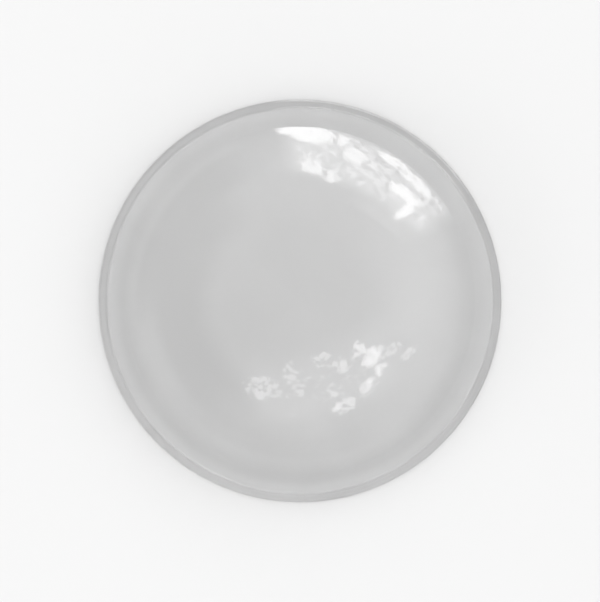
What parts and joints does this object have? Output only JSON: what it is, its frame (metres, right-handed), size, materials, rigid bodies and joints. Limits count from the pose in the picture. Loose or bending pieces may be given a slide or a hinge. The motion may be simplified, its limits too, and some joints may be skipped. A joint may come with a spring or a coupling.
{
  "type": "cabinet door bumper",
  "caption": "Small clear domed bumper pad with a flat self-adhesive underside, stuck inside a cabinet door or drawer front so that it closes quietly.",
  "frame": {"origin": "centre of the flat underside, which is the face that sticks to the door", "axes": "+Z along the dome's axis, from the flat underside to the crown; the part is round about Z, so X and Y are any two square directions across it"},
  "size_m": [0.0126, 0.0126, 0.0032],
  "materials": {
    "clear_polyurethane": "polished"
  },
  "bodies": {
    "root": {"bumper_dome": "clear_polyurethane"}
  },
  "joints": []
}
